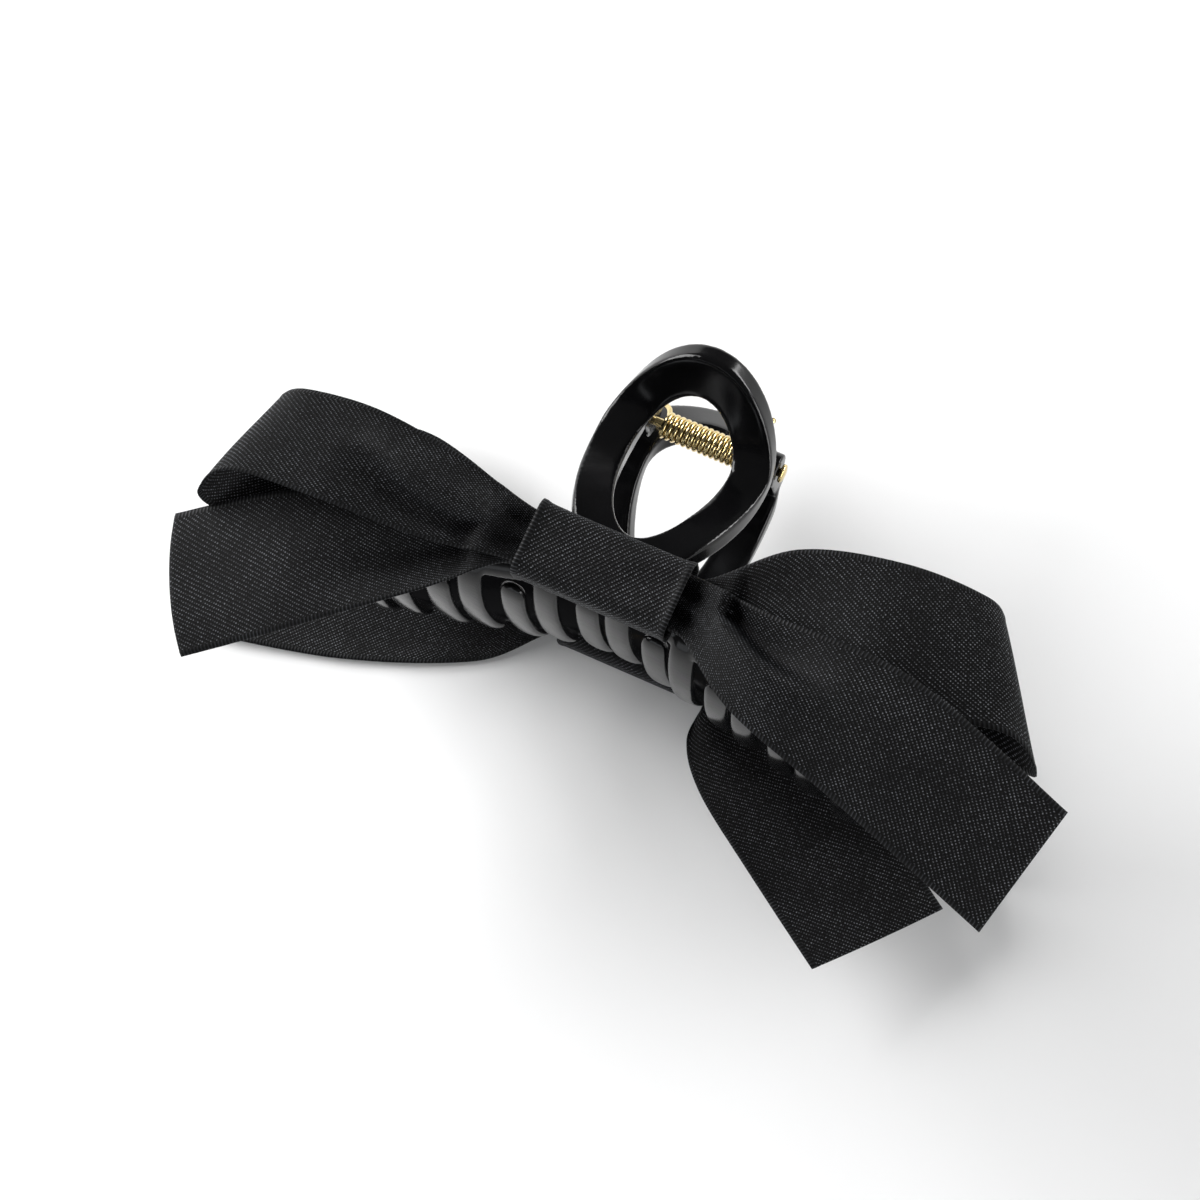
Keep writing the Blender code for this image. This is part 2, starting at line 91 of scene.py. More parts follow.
class Nodes:
    """A short way to write shader maths."""

    def __init__(self, name):
        self.material = bpy.data.materials.new(name)
        self.material.use_nodes = True
        self.tree = self.material.node_tree
        self.shader = self.tree.nodes["Principled BSDF"]

    def new(self, kind, **values):
        node = self.tree.nodes.new(kind)
        for key, value in values.items():
            setattr(node, key, value)
        return node

    def link(self, source, target):
        self.tree.links.new(source, target)

    def feed(self, socket, value):
        if isinstance(value, bpy.types.NodeSocket):
            self.link(value, socket)
        else:
            socket.default_value = value

    def math(self, operation, a, b=0.0, clamp=False):
        node = self.new("ShaderNodeMath", operation=operation, use_clamp=clamp)
        self.feed(node.inputs[0], a)
        self.feed(node.inputs[1], b)
        return node.outputs[0]

    def wave(self, value, period):
        return self.math("SINE", self.math("MULTIPLY", value, 2 * math.pi / period))

    def noise(self, vector, scale, detail=2.0, roughness=0.5):
        node = self.new("ShaderNodeTexNoise")
        node.inputs["Scale"].default_value = scale
        node.inputs["Detail"].default_value = detail
        node.inputs["Roughness"].default_value = roughness
        self.link(vector, node.inputs["Vector"])
        return node.outputs["Fac"]

    def ramp(self, factor, stops):
        node = self.new("ShaderNodeValToRGB")
        while len(node.color_ramp.elements) < len(stops):
            node.color_ramp.elements.new(0.5)
        for element, (position, color) in zip(node.color_ramp.elements, stops):
            element.position = position
            element.color = (*color, 1.0) if len(color) == 3 else color
        self.link(factor, node.inputs["Fac"])
        return node.outputs["Color"]

    def span(self, value, low, high, to_low, to_high):
        node = self.new("ShaderNodeMapRange")
        self.link(value, node.inputs["Value"])
        for key, number in zip(("From Min", "From Max", "To Min", "To Max"), (low, high, to_low, to_high)):
            node.inputs[key].default_value = number
        return node.outputs["Result"]

    def bump(self, height, strength, distance):
        node = self.new("ShaderNodeBump")
        node.inputs["Strength"].default_value = strength
        node.inputs["Distance"].default_value = distance
        self.link(height, node.inputs["Height"])
        self.link(node.outputs["Normal"], self.shader.inputs["Normal"])

    def set(self, **values):
        for key, value in values.items():
            self.shader.inputs[key.replace("_", " ")].default_value = value


# The weave, in millimetres on the ribbon.
ROW_ANGLE = math.radians(38.0)  # of the satin's rows of floats to the ribbon's length
ROW_PITCH = 0.66
FLOAT_PITCH = 0.46
RIB_PITCH = 0.66
RIB_HEIGHT = 0.28  # half the height of the edge's ribs, as a share of the tallest float
SELVEDGE = 1.15  # width of the ribbed edge
RIBBON_WIDTH = 25.0
FLOAT_JITTER = 0.5  # how far the floats stray along their rows
ROW_JITTER = 0.25  # how much of that the rows stray sideways


def satin_material(name, width=RIBBON_WIDTH):
    """Black satin: rows of tiny floats that catch the light, and a ribbed woven edge; the glints of the
    floats and ribs are painted lighter into the base colour.
    """
    n = Nodes(name)
    uv = n.new("ShaderNodeUVMap", uv_map="weave").outputs["UV"]
    split = n.new("ShaderNodeSeparateXYZ")
    n.link(uv, split.inputs[0])
    along, across = split.outputs[0], split.outputs[1]
    c, s = math.cos(ROW_ANGLE), math.sin(ROW_ANGLE)
    p = n.math("ADD", n.math("MULTIPLY", across, c), n.math("MULTIPLY", along, s))
    q = n.math("SUBTRACT", n.math("MULTIPLY", along, c), n.math("MULTIPLY", across, s))
    fine = n.noise(uv, scale=2.6, detail=3.0, roughness=0.7)
    broad = n.noise(uv, scale=0.12)
    jitter = n.math("MULTIPLY", fine, FLOAT_JITTER)
    strayed = n.math("ADD", p, n.math("MULTIPLY", jitter, ROW_JITTER))
    rows = n.math("MULTIPLY_ADD", n.wave(strayed, ROW_PITCH), 0.5)
    rows.node.inputs[2].default_value = 0.5
    floats = n.math("MULTIPLY_ADD", n.wave(n.math("ADD", q, jitter), FLOAT_PITCH), 0.35)
    floats.node.inputs[2].default_value = 0.65
    speck = n.math("MULTIPLY", rows, floats)
    speck = n.math("MULTIPLY", speck, n.span(fine, 0.3, 0.72, 0.25, 1.25), clamp=True)
    rib = n.math("MULTIPLY_ADD", n.wave(along, RIB_PITCH), RIB_HEIGHT)
    rib.node.inputs[2].default_value = RIB_HEIGHT
    edge = n.math("MINIMUM", across, n.math("SUBTRACT", width, across))
    border = n.span(edge, SELVEDGE * 0.8, SELVEDGE, 1.0, 0.0)
    weave = n.new("ShaderNodeMix", data_type="FLOAT")
    n.link(border, weave.inputs["Factor"])
    n.link(speck, weave.inputs["A"])
    n.link(rib, weave.inputs["B"])
    height = weave.outputs["Result"]
    # Painted glints: the base colour is lighter where the floats and the edge's ribs stand tallest,
    # standing in for the satin's sparkle of reflected light.
    painted_glint = n.math("MULTIPLY", n.math("POWER", height, 1.6), n.span(broad, 0.3, 0.7, 0.8, 1.15))
    color = n.ramp(painted_glint, [(0.02, (0.0006, 0.0006, 0.0007)), (0.16, (0.0020, 0.0021, 0.0024)),
                            (0.34, (0.010, 0.0105, 0.012)), (0.8, (0.185, 0.194, 0.212))])
    n.link(color, n.shader.inputs["Base Color"])
    n.link(n.span(height, 0.1, 0.8, 0.72, 0.30), n.shader.inputs["Roughness"])
    n.bump(height, strength=0.9, distance=0.00011)
    n.set(Sheen_Weight=0.015, Sheen_Roughness=0.35, Sheen_Tint=(0.72, 0.80, 0.92, 1.0), IOR=1.45)
    n.set(Specular_IOR_Level=0.17)
    return n.material


def plastic_material():
    """Polished black plastic with the faint waviness and haze of a moulding."""
    n = Nodes("polished_black_plastic")
    place = n.new("ShaderNodeTexCoord").outputs["Object"]
    haze = n.noise(place, scale=70.0, detail=3.0, roughness=0.6)
    flow = n.noise(place, scale=160.0)
    n.link(n.ramp(haze, [(0.3, (0.0018, 0.0018, 0.002)), (0.75, (0.004, 0.004, 0.0045))]),
           n.shader.inputs["Base Color"])
    n.link(n.span(haze, 0.3, 0.75, 0.12, 0.22), n.shader.inputs["Roughness"])
    n.bump(flow, strength=0.12, distance=0.0002)
    n.set(IOR=1.46, Specular_IOR_Level=0.3)
    return n.material


def brass_material():
    """Bright brass with a fine, slightly tarnished clouding."""
    n = Nodes("bright_brass")
    place = n.new("ShaderNodeTexCoord").outputs["Object"]
    cloud = n.noise(place, scale=900.0, detail=4.0, roughness=0.6)
    n.link(n.ramp(cloud, [(0.3, (0.62, 0.46, 0.19)), (0.6, (0.86, 0.70, 0.36))]),
           n.shader.inputs["Base Color"])
    n.link(n.span(cloud, 0.3, 0.7, 0.28, 0.16), n.shader.inputs["Roughness"])
    n.bump(cloud, strength=0.08, distance=0.00003)
    n.set(Metallic=1.0)
    return n.material


def thread_material():
    """Dull black sewing thread."""
    n = Nodes("twisted_thread")
    place = n.new("ShaderNodeTexCoord").outputs["Object"]
    fuzz = n.noise(place, scale=2600.0, detail=3.0, roughness=0.7)
    n.link(n.ramp(fuzz, [(0.3, (0.006, 0.006, 0.007)), (0.7, (0.04, 0.04, 0.045))]),
           n.shader.inputs["Base Color"])
    n.bump(fuzz, strength=0.5, distance=0.00008)
    n.set(Roughness=0.75, Sheen_Weight=0.3)
    return n.material


def glue_material():
    """Milky set glue with an uneven surface."""
    n = Nodes("set_hot_glue")
    place = n.new("ShaderNodeTexCoord").outputs["Object"]
    cloud = n.noise(place, scale=300.0, detail=3.0, roughness=0.6)
    n.link(n.ramp(cloud, [(0.3, (0.50, 0.46, 0.36)), (0.7, (0.70, 0.66, 0.56))]),
           n.shader.inputs["Base Color"])
    n.link(n.span(cloud, 0.3, 0.7, 0.25, 0.45), n.shader.inputs["Roughness"])
    n.bump(cloud, strength=0.3, distance=0.0002)
    return n.material


def floor_material():
    """Matte and almost white."""
    n = Nodes("pale_floor")
    place = n.new("ShaderNodeTexCoord").outputs["Object"]
    n.link(n.ramp(n.noise(place, scale=3.0), [(0.3, (0.93, 0.93, 0.93)), (0.7, (0.95, 0.95, 0.95))]),
           n.shader.inputs["Base Color"])
    n.set(Roughness=0.9)
    return n.material


# ---------------------------------------------------------------- curves and meshes


def catmull(points, t):
    """A point on the smooth curve through points, t running from 0 to len(points) - 1."""
    last = len(points) - 1
    i = min(int(t), last - 1)
    f = t - i
    a, b = Vector(points[max(i - 1, 0)]), Vector(points[i])
    c, d = Vector(points[i + 1]), Vector(points[min(i + 2, last)])
    return b + 0.5 * f * ((c - a) + f * ((2 * a - 5 * b + 4 * c - d) + f * (3 * (b - c) + d - a)))


def smooth_step(value, low=0.0, high=1.0):
    f = min(max((value - low) / (high - low), 0.0), 1.0)
    return f * f * (3 - 2 * f)


def bell(value, middle, width):
    """A smooth bump of height 1."""
    return math.exp(-((value - middle) / width) ** 2)


def object_from(name, bm, matrix):
    """A smooth-shaded object from a mesh in millimetres, carried into the frame."""
    bmesh.ops.recalc_face_normals(bm, faces=bm.faces)
    mesh = bpy.data.meshes.new(name)
    bm.to_mesh(mesh)
    bm.free()
    mesh.transform(matrix)
    if matrix.determinant() < 0:
        mesh.flip_normals()
    mesh.shade_smooth()
    obj = bpy.data.objects.new(name, mesh)
    bpy.context.scene.collection.objects.link(obj)
    return obj


def loft(bm, rings, closed=False):
    """Faces through rings of equally many points, closed on itself or capped at both ends."""
    rows = [[bm.verts.new(point) for point in ring] for ring in rings]
    pairs = list(zip(rows, rows[1:])) + ([(rows[-1], rows[0])] if closed else [])
    for low, high in pairs:
        for i in range(len(low)):
            j = (i + 1) % len(low)
            bm.faces.new((low[i], low[j], high[j], high[i]))
    if not closed:
        bm.faces.new(rows[0][::-1])
        bm.faces.new(rows[-1])


# ---------------------------------------------------------------- the ribbon bows

# Each row is the upper edge and the lower edge of the ribbon at one place, as in the CAD part.
FRONT_LEFT_TAIL = [
    ((-73.0, -52.0, 22.4), (-62.0, -73.6, 19.0)),
    ((-56.0, -41.5, 26.6), (-46.0, -62.2, 23.6)),
    ((-36.0, -35.0, 28.4), (-28.5, -48.8, 27.2)),
]
FRONT_RIGHT_LOOP = [
    ((28.0, -18.2, 32.8), (31.0, -38.4, 31.6)),
    ((45.0, -13.8, 34.2), (52.0, -36.6, 33.4)),
    ((59.0, -13.4, 32.8), (70.6, -32.2, 31.4)),
    ((62.4, -14.8, 29.2), (77.0, -35.8, 26.6)),
    ((59.0, -13.4, 25.8), (72.0, -35.6, 22.4)),
    ((48.0, -13.2, 25.5), (57.0, -37.0, 22.6)),
    ((30.0, -18.6, 26.6), (33.0, -38.6, 25.4)),
]
FRONT_LEFT_LOOP = [
    ((-30.0, -25.5, 26.4), (-32.0, -43.0, 25.4)),
    ((-46.0, -24.5, 25.4), (-54.0, -46.0, 22.6)),
    ((-57.0, -25.6, 27.4), (-66.0, -48.4, 22.0)),
    ((-61.2, -28.0, 33.0), (-69.5, -47.6, 27.0)),
    ((-57.0, -26.2, 37.2), (-64.6, -43.0, 31.8)),
    ((-44.0, -24.8, 38.2), (-49.0, -41.8, 34.0)),
    ((-28.0, -26.2, 36.8), (-30.0, -40.8, 33.6)),
]
FRONT_RIGHT_TAIL = [
    ((29.0, -30.0, 36.4), (29.0, -47.0, 34.2)),
    ((54.0, -31.0, 37.6), (51.0, -53.8, 33.4)),
    ((84.0, -40.6, 35.4), (78.7, -62.8, 30.0)),
]
REAR_LEFT_TAIL = [
    ((-70.2, -56.2, 21.0), (-53.9, -75.5, 18.0)),
    ((-49.6, -43.0, 26.4), (-35.0, -63.2, 23.4)),
    ((-30.0, -35.0, 28.2), (-21.6, -53.8, 27.0)),
    ((-18.6, -29.6, 28.8), (-15.6, -46.0, 28.2)),
]
REAR_RIGHT_LOOP = [
    ((28.0, -19.2, 30.6), (31.0, -38.8, 30.6)),
    ((45.0, -14.8, 30.8), (51.0, -37.6, 30.8)),
    ((58.0, -14.4, 30.8), (69.5, -34.6, 30.2)),
    ((61.8, -15.6, 28.4), (74.6, -37.2, 26.3)),
    ((58.0, -14.0, 24.6), (70.5, -36.6, 22.4)),
    ((48.0, -13.6, 24.2), (56.0, -37.0, 22.4)),
    ((30.0, -18.6, 26.2), (33.0, -38.6, 25.2)),
]
REAR_LEFT_LOOP = [
    ((-30.0, -25.5, 26.2), (-32.0, -42.5, 25.2)),
    ((-46.0, -23.5, 25.0), (-54.0, -45.0, 23.0)),
    ((-58.0, -24.6, 25.6), (-68.0, -46.5, 22.4)),
    ((-63.2, -27.0, 29.0), (-72.2, -48.0, 26.8)),
    ((-58.0, -26.0, 32.4), (-67.0, -46.6, 31.4)),
    ((-44.0, -25.4, 32.5), (-49.0, -44.0, 32.5)),
    ((-28.0, -26.4, 32.5), (-30.0, -42.8, 32.5)),
]
REAR_RIGHT_TAIL = [
    ((27.0, -30.5, 32.5), (27.0, -47.8, 32.5)),
    ((52.0, -33.5, 32.5), (50.5, -57.6, 32.5)),
    ((84.0, -40.0, 32.5), (78.5, -64.2, 32.5)),
]
KNOT_Y = -33.2
KNOT_HALF_HEIGHT = 4.8
KNOT_LAYERS = (27.4, 29.0, 30.6)  # from the spine outwards
KNOT_STATIONS = (-15.0, -5.0, 5.0, 15.0)
KNOT_END = 13.0  # how far from the middle the folds start
REAR_KNOT_SHIFT = 1.0  # the rear bow's knot sits a little nearer the pin
TABLE_Z = 33.0  # the lying clip's bow can't reach past the table
TABLE_GAP = 0.05
RIBBON_THICKNESS = 0.32
EDGE_THICKNESS = 0.46
EDGE_TAPER = 0.45  # the outermost line is thinner, so that the edge looks rounded
CUT_BOW = 1.5  # how far the front left tail's cut end bulges in its middle
FOLD_LEAN = 0.35  # how far folds lean from straight up towards the cloth's own normal
REAR_FOLD_STRENGTH = 0.35  # the rear bow is pressed flatter
PLEAT_DEPTH = 0.6
RIPPLE = 0.7
RIPPLE_START, RIPPLE_FULL = 16.0, 40.0  # from the middle
STEP_ALONG = 0.02  # in rows, to find the ribbon's direction
STATIONS_PER_ROW = 13
ACROSS = 36


def knot_rows(layer, direction, shift):
    """The gathered ribbon where it passes through the wrap."""
    top, bottom = KNOT_Y + shift + KNOT_HALF_HEIGHT, KNOT_Y + shift - KNOT_HALF_HEIGHT
    rows = [((x, top, KNOT_LAYERS[layer]), (x, bottom, KNOT_LAYERS[layer])) for x in KNOT_STATIONS]
    return rows if direction > 0 else rows[::-1]


def ribbon_rows(stretches, shift):
    """The rows of the folded ribbon, and the name and place of each stretch."""
    left_tail, right_loop, left_loop, right_tail = stretches
    groups = [("left_tail", left_tail), ("knot", knot_rows(1, 1, shift)), ("right_loop", right_loop),
              ("knot", knot_rows(0, -1, shift)), ("left_loop", left_loop), ("knot", knot_rows(2, 1, shift)),
              ("right_tail", right_tail)]
    rows, spans = [], []
    for name, group in groups:
        spans.append((name, len(rows), len(rows) + len(group) - 1))
        rows += group
    return rows, spans


def knot_pleat(away, v):
    """The small pleats that all three layers share where the wrap gathers them."""
    return PLEAT_DEPTH * math.cos(2.5 * math.pi * v) * (1 - smooth_step(away, 0.0, 10.0))


def fold_offset(name, share, x, v, strength):
    """How far the cloth stands off its plain path, in mm. v runs from -1 at the lower edge to 1."""
    away = max(abs(x) - KNOT_END, 0.0)
    lift = 0.0
    if name == "left_loop" and share > 0.5:  # its outer layer: raised above a slanting crease, sunk below
        depth = 4.2 * smooth_step(away, 0.0, 9.0) * (1 - smooth_step(away, 20.0, 36.0))
        crease = 0.25 - 0.5 * smooth_step(away, 1.0, 11.0) + 0.35 * smooth_step(away, 16.0, 32.0)
        step = smooth_step(v, crease - 0.16, crease + 0.3)
        falling = 0.75 * smooth_step(v, crease + 0.25, 1.0)
        lift = depth * (step - falling - 0.45 - 0.35 * bell(v, crease - 0.2, 0.2))
    elif name == "left_loop":  # its inner layer
        depth = 1.0 * smooth_step(away, 0.0, 10.0) * (1 - smooth_step(away, 14.0, 30.0))
        lift = depth * (bell(v, 0.1, 0.4) - 0.9)
    elif name == "right_tail":  # a slanting crest, with the cloth above it sunk
        depth = 5.0 * smooth_step(away, 0.0, 6.0) * (1 - smooth_step(away, 14.0, 32.0))
        crest = 0.38 - 0.42 * smooth_step(away, 2.0, 20.0)
        beyond = smooth_step(v, crest, crest + 0.36)
        hollow = beyond * (1 - 0.5 * smooth_step(v, crest + 0.4, 1.0))
        lift = depth * (0.35 * bell(v, crest - 0.04, 0.3) - hollow)
    elif name == "right_loop" and share < 0.5:  # its outer layer: a hollow, and the lower edge tucked in
        depth = 1.6 * smooth_step(away, 0.0, 9.0) * (1 - smooth_step(away, 14.0, 36.0))
        tucked = 3.0 * smooth_step(away, 0.0, 6.0) * (1 - smooth_step(away, 18.0, 36.0))
        lift = -depth * bell(v, 0.35, 0.4) - tucked * (1 - smooth_step(v, -0.4, 0.5))
    elif name == "left_tail":  # one long hollow
        depth = 2.6 * smooth_step(away, 0.0, 9.0) * (1 - smooth_step(away, 16.0, 40.0))
        lift = -depth * bell(v, -0.35, 0.45)
    far = smooth_step(away, 12.0, 34.0)
    cup = 1.0 * far * (0.35 - v * v) * (1.0 if name in ("left_tail", "right_tail") else 0.5)
    return knot_pleat(away, v) + strength * lift + cup


def ribbon_station(rows, spans, at):
    """Upper edge, lower edge, normal and the fold's place for one station along the ribbon."""
    uppers, lowers = [row[0] for row in rows], [row[1] for row in rows]
    upper, lower = catmull(uppers, at), catmull(lowers, at)
    before, after = max(at - STEP_ALONG, 0.0), min(at + STEP_ALONG, len(rows) - 1)
    onward = catmull(uppers, after) + catmull(lowers, after)
    onward = onward - catmull(uppers, before) - catmull(lowers, before)
    normal = onward.cross(upper - lower).normalized()
    for name, start, end in spans:
        if at <= end + 0.5:
            break
    share = (at - start) / max(end - start, 1)
    return upper, lower, onward.normalized(), normal, name, share


def bow_ribbon(name, matrix, stretches, rear, satin, body, node, seed):
    """The whole folded ribbon as one closed sheet with a thicker woven edge."""
    rows, spans = ribbon_rows(stretches, REAR_KNOT_SHIFT if rear else 0.0)
    last = len(rows) - 1
    count = last * STATIONS_PER_ROW
    bm = bmesh.new()
    layer = bm.loops.layers.uv.new("weave")
    uvs = {}
    rings = []
    length = 0.0
    last_middle = None
    for k in range(count + 1):
        at = k / STATIONS_PER_ROW
        upper, lower, onward, normal, stretch, share = ribbon_station(rows, spans, at)
        middle = (upper + lower) / 2
        length += 0.0 if last_middle is None else (middle - last_middle).length
        last_middle = middle
        side = -1.0 if normal.z < 0 else 1.0
        up = Vector((0.0, 0.0, 1.0)).lerp(normal * side, FOLD_LEAN).normalized()
        away = smooth_step(abs(middle.x), RIPPLE_START, RIPPLE_FULL)
        flatness = abs(normal.z) ** 0.5  # folds fade where the ribbon turns over
        front, back = [], []
        for i in range(ACROSS + 1):
            v = 2 * i / ACROSS - 1
            edge = RIBBON_WIDTH / 2 * (1 - abs(v))
            point = lower.lerp(upper, i / ACROSS)
            lift = fold_offset(stretch, share, middle.x, v, REAR_FOLD_STRENGTH if rear else 1.0)
            wander = Vector((middle.x / 19 + seed, middle.y / 19, v * 0.7 + at / 2.3))
            ripple = RIPPLE * away * noise.noise(wander)
            point = point + up * (lift + ripple) * flatness
            cut = 0.0 if rear else 1 - smooth_step(at, 0.0, 1.0)
            point = point - onward * CUT_BOW * cut * (1 - v * v)
            half = EDGE_THICKNESS / 2 if edge < SELVEDGE else RIBBON_THICKNESS / 2
            half *= EDGE_TAPER if i in (0, ACROSS) else 1.0
            if rear:
                point.z = min(point.z, TABLE_Z - TABLE_GAP - half)
            top, low = bm.verts.new(point + normal * half), bm.verts.new(point - normal * half)
            uvs[top] = uvs[low] = (length, (v + 1) / 2 * RIBBON_WIDTH)
            front.append(top)
            back.append(low)
        rings.append(front + back[::-1])
    for a, b in zip(rings, rings[1:]):
        for i in range(len(a)):
            j = (i + 1) % len(a)
            bm.faces.new((a[i], a[j], b[j], b[i]))
    for ring, flip in ((rings[0], True), (rings[-1], False)):
        for i in range(ACROSS):
            quad = (ring[i], ring[i + 1], ring[-2 - i], ring[-1 - i])
            bm.faces.new(quad[::-1] if flip else quad)
    for face in bm.faces:
        for loop in face.loops:
            loop[layer].uv = uvs[loop.vert]
    obj = object_from(name, bm, matrix)
    obj.data.materials.append(satin)
    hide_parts(node)
    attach(obj, body)


WRAP_HALF_LENGTH = 13.8
WRAP_Y = (-40.0, -26.4)
WRAP_Z = (25.3, 33.0)
WRAP_CORNER = 2.6
WRAP_WALL = 0.36
WRAP_EDGE = 0.1  # how much thicker the woven edge is
WRAP_EDGE_RISE = 0.12  # how far the woven edge stands above the rest
WRAP_CREASE = 0.22
WRAP_FLARE = 0.35  # how far the ends stand off
WRAP_PULL = 0.25  # how far the middle is drawn in
WRAP_STATIONS = 44


def box_path(half_y, half_z, radius, per_corner, per_side):
    """Points round a rectangle with round corners."""
    corners = []
    for k, (sy, sz) in enumerate(((1, 1), (-1, 1), (-1, -1), (1, -1))):
        middle = (sy * (half_y - radius), sz * (half_z - radius))
        arc = [math.pi / 2 * (k + i / per_corner) for i in range(per_corner + 1)]
        corners.append([Vector((middle[0] + radius * math.cos(a), middle[1] + radius * math.sin(a)))
                        for a in arc])
    points = []
    for corner, following in zip(corners, corners[1:] + corners[:1]):
        points += corner
        points += [corner[-1].lerp(following[0], i / per_side) for i in range(1, per_side)]
    return points


def centre_wrap(name, matrix, flat_face, satin, body, node):
    """The short ribbon round the knot, snug at its middle, with soft drawn-in folds."""
    middle_y, middle_z = sum(WRAP_Y) / 2, sum(WRAP_Z) / 2
    half_y, half_z = (WRAP_Y[1] - WRAP_Y[0]) / 2, (WRAP_Z[1] - WRAP_Z[0]) / 2
    path = box_path(half_y, half_z, WRAP_CORNER, 8, 14)
    bm = bmesh.new()
    layer = bm.loops.layers.uv.new("weave")
    uvs = {}
    outer_rows, inner_rows = [], []
    for k in range(WRAP_STATIONS + 1):
        u = 2 * k / WRAP_STATIONS - 1
        x = WRAP_HALF_LENGTH * u
        edge = WRAP_HALF_LENGTH * (1 - abs(u))
        outer, inner = [], []
        run = 0.0
        for i, (y, z) in enumerate(path):
            run += (Vector((y, z)) - path[i - 1]).length if i else 0.0
            out = Vector((y / half_y ** 1.2, z / half_z ** 1.2)).normalized()
            facing = max(out.y, 0.0)
            crease = WRAP_CREASE * noise.noise(Vector((x / 9, y / 2.6, 4.0))) * facing
            flare = WRAP_FLARE * smooth_step(abs(u), 0.82, 1.0) * facing
            pull = -WRAP_PULL * (1 - u * u) * facing
            swell = 0.0 if flat_face else crease + flare + pull
            wall = WRAP_WALL if edge > SELVEDGE else WRAP_WALL + WRAP_EDGE
            for verts, depth in ((outer, 0.0), (inner, -wall)):
                shift = swell + depth - (WRAP_EDGE_RISE if edge > SELVEDGE else 0.0)
                vert = bm.verts.new((x, middle_y + y + out.x * shift, middle_z + z + out.y * shift))
                uvs[vert] = (run, (u + 1) / 2 * 2 * WRAP_HALF_LENGTH)
                verts.append(vert)
        outer_rows.append(outer)
        inner_rows.append(inner)
    for rows in (outer_rows, inner_rows):
        for a, b in zip(rows, rows[1:]):
            for i in range(len(a)):
                j = (i + 1) % len(a)
                bm.faces.new((a[i], a[j], b[j], b[i]))
    for k in (0, -1):
        a, b = outer_rows[k], inner_rows[k]
        for i in range(len(a)):
            j = (i + 1) % len(a)
            bm.faces.new((a[i], a[j], b[j], b[i]))
    for face in bm.faces:
        for loop in face.loops:
            loop[layer].uv = uvs[loop.vert]
    obj = object_from(name, bm, matrix)
    obj.data.materials.append(satin)
    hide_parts(node)
    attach(obj, body)


# ---------------------------------------------------------------- the jaws

# The side profile as y and z, from the handle's tip past the spine to the teeth's tips.
HANDLE_PROFILE = [(10.1, 22.2), (4.6, 14.2), (0.0, 9.9), (-4.0, 8.4), (-8.0, 9.2), (-12.0, 11.4)]
SPINE_PROFILE = [(-16.0, 14.5), (-20.0, 17.6), (-24.0, 20.2), (-28.0, 21.5), (-31.5, 21.7), (-34.2, 20.8)]
TOOTH_PROFILE = [(-36.2, 18.4), (-37.7, 14.0), (-38.7, 8.5), (-39.1, 3.0), (-39.1, -2.5)]
TIP_PROFILE = [(-38.7, -8.0), (-37.9, -12.8), (-36.7, -17.0)]
PROFILE = HANDLE_PROFILE + SPINE_PROFILE + TOOTH_PROFILE + TIP_PROFILE
JAW_HALF_LENGTH = 55.0
ARCH_SLOPE = 0.25  # droop of the spine's ends
ARCH_RADIUS = 6.0
ARCH_FROM_Y = -16.0
ARCH_FULL_Y = -28.0
END_NARROWING = 0.2
# Half width, middle, reach towards the handle's tip and reach towards the teeth.
RING_OUTER = (15.7, -6.0, 15.7, 26.0)
RING_HOLE = (8.8, -7.0, 11.6, 17.6)
RING_THICKNESS = 4.2
SPINE_TOP_Y = -25.0
SPINE_BOTTOM_Y = -35.9
SPINE_THICKNESS = 2.4
SPINE_END_CUT = 2.4  # the strip loses this much height at its ends
SPINE_END_SHARE = 0.3  # of each half, where it does so
SPINE_EDGE_THINNING = 0.5
TOOTH_PITCH = 13.0
TOOTH_WIDTH = 4.9
TOOTH_THICKNESS = 2.3
TOOTH_START_Y = -33.0
TIP_START = 0.09  # the last share of a tooth, where it rounds off
TIP_WIDTH, TIP_THICKNESS = 0.06, 0.5  # at the very end, as shares of the tooth's own
RING_SQUARENESS, TOOTH_SQUARENESS = 12.0, 2.6  # 2 is an ellipse, more is squarer
FIRST_TOOTH_X = -49.2  # off centre, so that two like jaws interleave
TEETH = [FIRST_TOOTH_X + TOOTH_PITCH * k for k in range(8)]
LUG_RADIUS = 3.2
LUG_WIDTH = 2.8
LUG_STEM_MIDDLE = (-0.6, 4.6)  # y and z of the block between the eye and the ring
LUG_STEM_SIZE = (4.6, 8.4)
FRONT_LUG_X = 10.3
REAR_LUG_X = 13.5
PROFILE_STEPS = 24
PROFILE_LINE = [catmull(PROFILE, i / PROFILE_STEPS) for i in range((len(PROFILE) - 1) * PROFILE_STEPS + 1)]


def profile_at_y(y):
    """Height and surface direction of the profile where it crosses y, above the teeth's turn."""
    for a, b in zip(PROFILE_LINE, PROFILE_LINE[1:]):
        if b.x <= y <= a.x:
            break
    f = (a.x - y) / max(a.x - b.x, 1e-6)
    return a.lerp(b, f), (b - a).normalized()


def bent(x, point):
    """A profile point carried to a place along the arched and narrowing spine."""
    y, h = point
    share = smooth_step(ARCH_FROM_Y - y, 0.0, ARCH_FROM_Y - ARCH_FULL_Y)
    droop = ARCH_SLOPE * (math.hypot(x, ARCH_RADIUS) - ARCH_RADIUS)
    narrow = 1 - END_NARROWING * (x / JAW_HALF_LENGTH) ** 2 * share
    return Vector((x, y - droop * share, h * narrow))


def rounded(across, out, half_width, half_thickness, sides, power):
    """Offsets round a section between an ellipse, at power 2, and a rectangle."""
    offsets = []
    for i in range(sides):
        angle = 2 * math.pi * i / sides
        c, s = math.cos(angle), math.sin(angle)
        reach = (abs(c) ** power + abs(s) ** power) ** (-1 / power)
        offsets.append(across * (half_width * reach * c) + out * (half_thickness * reach * s))
    return offsets


